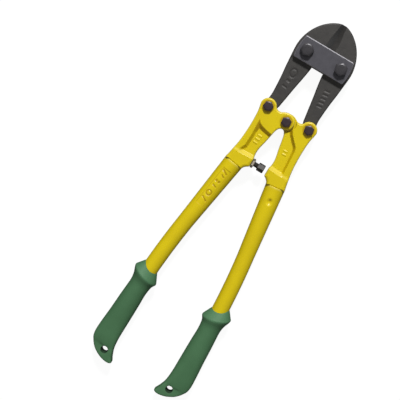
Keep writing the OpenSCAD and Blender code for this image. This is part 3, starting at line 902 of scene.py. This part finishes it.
def steel(name, base, dark, metallic, rough, lumps, grind=0.0, light_and_wear=None, light_and_wear_share=0.0):
    """Blackened steel: mottled oxide and forging lumps, and by the mark a second colour with ground lines:
    the jaws' ground bevels, and the straps' painted highlight with some wear.
    """
    p = Paint(name)
    mottle = p.noise(160, 4, .65)
    fine = p.noise(1300, 3, .6)
    lines = p.noise(2400, 2, .6, (.05, 1, .05))
    colour = p.mix(mottle.between(.36, .68), base, dark)
    colour = p.mix(fine.between(.62, .8) * .25, colour, tuple(c * 1.7 for c in base))
    if light_and_wear:
        # Where marked: the ground bevel's colour, and a painted highlight with some wear
        colour = p.mix(p.mark * light_and_wear_share * (.7 + lines * .6), colour, light_and_wear)
    shape = p.bump(p.noise(210, 3, .6), lumps, .00035, p.bump(fine, .35, .00005))
    if grind:
        shape = p.bump(lines * p.mark, grind, .00005, shape)
    rough = rough + mottle * .14 - fine * .05 - p.mark * .1
    return p.done(colour, rough, shape, Metallic=metallic, Specular_IOR_Level=.4)


def plated(name, base, tint):
    """Zinc plate with a faint yellow passivate, brushed by handling."""
    p = Paint(name)
    fine = p.noise(1800, 3, .6)
    colour = p.mix(p.noise(240, 3, .6).between(.3, .7), base, tint)
    return p.done(colour, .30 + fine * .16, p.bump(fine, .3, .00004), Metallic=.85)


CAST_YELLOW = yellow("yellow_enamel_cast", .13, .0)
TUBE_YELLOW = yellow("yellow_enamel_tube", .10, .3)
VINYL = vinyl()
# The jaws' marked colour is their paler ground bevel; the straps' is a pale painted highlight on their edges,
# with some wear
JAW_STEEL = steel("jaw_forged_black", (.037, .0345, .032), (.029, .027, .0255), .15, .50, .35,
                  grind=.5, light_and_wear=(.056, .056, .056), light_and_wear_share=.9)
STRAP_STEEL = steel("strap_phosphate", (.062, .060, .070), (.052, .050, .059), .15, .42, .15,
                    light_and_wear=(.34, .33, .35), light_and_wear_share=.8)
JAW_BOLT = steel("bolt_phosphate", (.044, .042, .046), (.034, .032, .036), .3, .34, .12)
BOLT_BLACK = steel("bolt_black_oxide", (.046, .032, .036), (.032, .022, .026), .35, .36, .12)
SCREW_STEEL = steel("stop_screw_steel", (.030, .026, .022), (.018, .016, .014), .1, .46, .1)
ZINC = plated("zinc_yellow", (.55, .49, .38), (.42, .37, .30))


# ---------------------------------------------------------------- the pieces

casting, tube_shell, sleeve = head(), tube(), grip()
casting.finish("casting_right", "handle_right", "yellow_enamel", CAST_YELLOW, "head_right")
casting.finish("casting_left", "handle_left", "yellow_enamel", CAST_YELLOW, "head_left", FLIP)
tube_shell.finish("tube_shell_right", "handle_right", "yellow_enamel", TUBE_YELLOW, "tube_right")
tube_shell.finish("tube_shell_left", "handle_left", "yellow_enamel", TUBE_YELLOW, "tube_left", FLIP)
sleeve.finish("grip_sleeve_right", "handle_right", "green_vinyl", VINYL, "grip_right")
sleeve.finish("grip_sleeve_left", "handle_left", "green_vinyl", VINYL, "grip_left", MIRROR)

# Bars as (x, y, angle, half length, half width), and a ring as (x, y, radius in x, radius in y, half width)
RIGHT_BARS = [(20.6, 50, 8, 3.2, .8), (20.9, 45.5, 8, 3.2, .8), (21.2, 41, 8, 3.2, .8),
              (21.4, 36.5, 8, 3.2, .8), (21.6, 32, 8, 3.2, .8)]
LEFT_BARS = [(21.2, 38.8, 8, 2.4, 1.2), (21.6, 31.5, 8, 3.0, .9)]
LEFT_RING = (20.6, 48.5, 3.6, 4.6, .7)
# The right jaw's bevel, which faces the key light, takes only .15 of the paler ground colour: painted shade
# that evens it with the left jaw's bevel, which faces away
right_jaw, left_jaw = jaw(RIGHT_BARS, [], .15), jaw(LEFT_BARS, [LEFT_RING], 1)
right_jaw.finish("jaw_forging_right", "jaw_right", "jaw_steel", JAW_STEEL, "jaw_right")
left_jaw.finish("jaw_forging_left", "jaw_left", "jaw_steel", JAW_STEEL, "jaw_left", MIRROR)
strap(1).finish("strap_plate_front", "straps", "strap_steel", STRAP_STEEL, "strap_front")
strap(-1).finish("strap_plate_back", "straps", "strap_steel", STRAP_STEEL, "strap_back")

# Back ends of the bolts, nuts and washers
JAW_BOLT_END, JAW_NUT_END = -15.95, -14.8
PIVOT_BOLT_END, PIVOT_NUT_END, WASHER_END = -15.4, -14.5, -10.3


def pivot(kind, hand, at, body, washer_r, bolt_turn, nut_turn):
    """A handle pivot's bolt, washer and nut. The nodes' names start with kind and end with hand."""
    bolt = spun(hex_bolt(10, 4.5, 3, FACE, PIVOT_BOLT_END), bolt_turn)
    nut = spun(hex_nut(10, PIVOT_NUT_END, WASHER_END, 3), nut_turn)
    hardware(f"{kind}_bolt{hand}", bolt, at, body, "black_bolt", BOLT_BLACK)
    hardware(f"{kind}_washer{hand}", washer(washer_r, WASHER_END, -FACE, 3), at, body, "zinc_plate", ZINC)
    hardware(f"{kind}_nut{hand}", nut, at, body, "black_bolt", BOLT_BLACK)


for hand, sign in (("left", -1), ("right", 1)):
    at = (sign * JAW[0], JAW[1], 0)
    bolt = spun(hex_bolt(12.7, 6, 5, STRAP_OUT, JAW_BOLT_END), 12 * sign)
    nut = spun(hex_nut(15, JAW_NUT_END, -STRAP_OUT, 5), 7 * sign)
    hardware(f"jaw_bolt_{hand}", bolt, at, "straps", "black_bolt", JAW_BOLT)
    hardware(f"jaw_nut_{hand}", nut, at, "straps", "black_bolt", JAW_BOLT)
    pivot("link", f"_{hand}", (sign * LINK[0], LINK[1], 0), f"handle_{hand}", 6.6, 9 * sign, 20 * sign)
pivot("centre", "", (0, 0, 0), "handle_left", 8, 4, 16)

stop_at = (0, STOP_Y, 0)
hardware("stop_screw", laid(spun(stop_screw(), 10)), stop_at, "stop_screw", "screw_steel", SCREW_STEEL)
lock_nut = laid(spun(hex_nut(9.4, -9.5, -6.3, 3), 24))
hardware("stop_lock_nut", lock_nut, stop_at, "handle_left", "zinc_plate", ZINC)


# ---------------------------------------------------------------- floor, light and camera

def in_frame(x, y, z):
    """A place in the tool's millimetres as a place in the frame."""
    return Vector((ORIGIN + np.array([x, y, z], float) * MM).tolist())


def linked(name, data):
    """A new object in the scene."""
    made = bpy.data.objects.new(name, data)
    bpy.context.scene.collection.objects.link(made)
    return made


FLOOR_REACH = 12.0               # m
floor_mesh = bpy.data.meshes.new("floor")
corners = [(x * FLOOR_REACH, y * FLOOR_REACH, cad_box[0].z) for x, y in ((-1, -1), (1, -1), (1, 1), (-1, 1))]
floor_mesh.from_pydata(corners, [], [(0, 1, 2, 3)])
floor = linked("floor", floor_mesh)
paper = {"Emission_Color": (1, 1, 1), "Emission_Strength": .94, "Specular_IOR_Level": 0.0}
floor_mesh.materials.append(Paint("floor_paper").done((.08, .08, .08), .9, **paper))
floor.visible_diffuse = floor.visible_glossy = False     # the pale floor doesn't light the tool's sides

# The sky: grey by how high it is, as (height, grey)
SKY = ((.0, .105), (.12, .33))
world = bpy.data.worlds.new("studio")
bpy.context.scene.world = world
world.use_nodes = True
sky = world.node_tree
sky_place = sky.nodes.new("ShaderNodeTexCoord")
sky_split = sky.nodes.new("ShaderNodeSeparateXYZ")
sky_ramp = sky.nodes.new("ShaderNodeValToRGB")
for element, (height, grey) in zip(sky_ramp.color_ramp.elements, SKY):
    element.position, element.color = height, (grey, grey, grey, 1)
sky.links.new(sky_place.outputs["Generated"], sky_split.inputs[0])
sky.links.new(sky_split.outputs["Z"], sky_ramp.inputs[0])
sky.links.new(sky_ramp.outputs[0], sky.nodes["Background"].inputs["Color"])

# The key light: a soft square, m and W, and its place and where it is turned to, mm
key_data = bpy.data.lights.new("key", "AREA")
key_data.size, key_data.energy = .85, 330
key = linked("key", key_data)
key.location = in_frame(-900, 3500, 3600)
key.rotation_euler = (in_frame(0, -100, 0) - key.location).to_track_quat("-Z", "Y").to_euler()

# The camera: a metre above the tool, with its place and aim in mm, and rolled so that the tool lies askew
CAMERA_AT, AIM, ROLL = (0, 20, 1000), (-36.99, -122.36, 0), math.radians(-30.745)
lens = bpy.data.cameras.new("camera")
lens.sensor_width, lens.lens = 36.0, 82.2
lens.clip_start, lens.clip_end = .05, 40
camera = linked("camera", lens)
eye = in_frame(*CAMERA_AT)
forward = (in_frame(*AIM) - eye).normalized()
right = forward.cross(Vector((math.sin(ROLL), math.cos(ROLL), 0))).normalized()
facing = Matrix((right, right.cross(forward), -forward)).transposed().to_4x4()
camera.matrix_world = Matrix.Translation(eye) @ facing
bpy.context.scene.camera = camera
bpy.context.scene.view_settings.view_transform = "Standard"
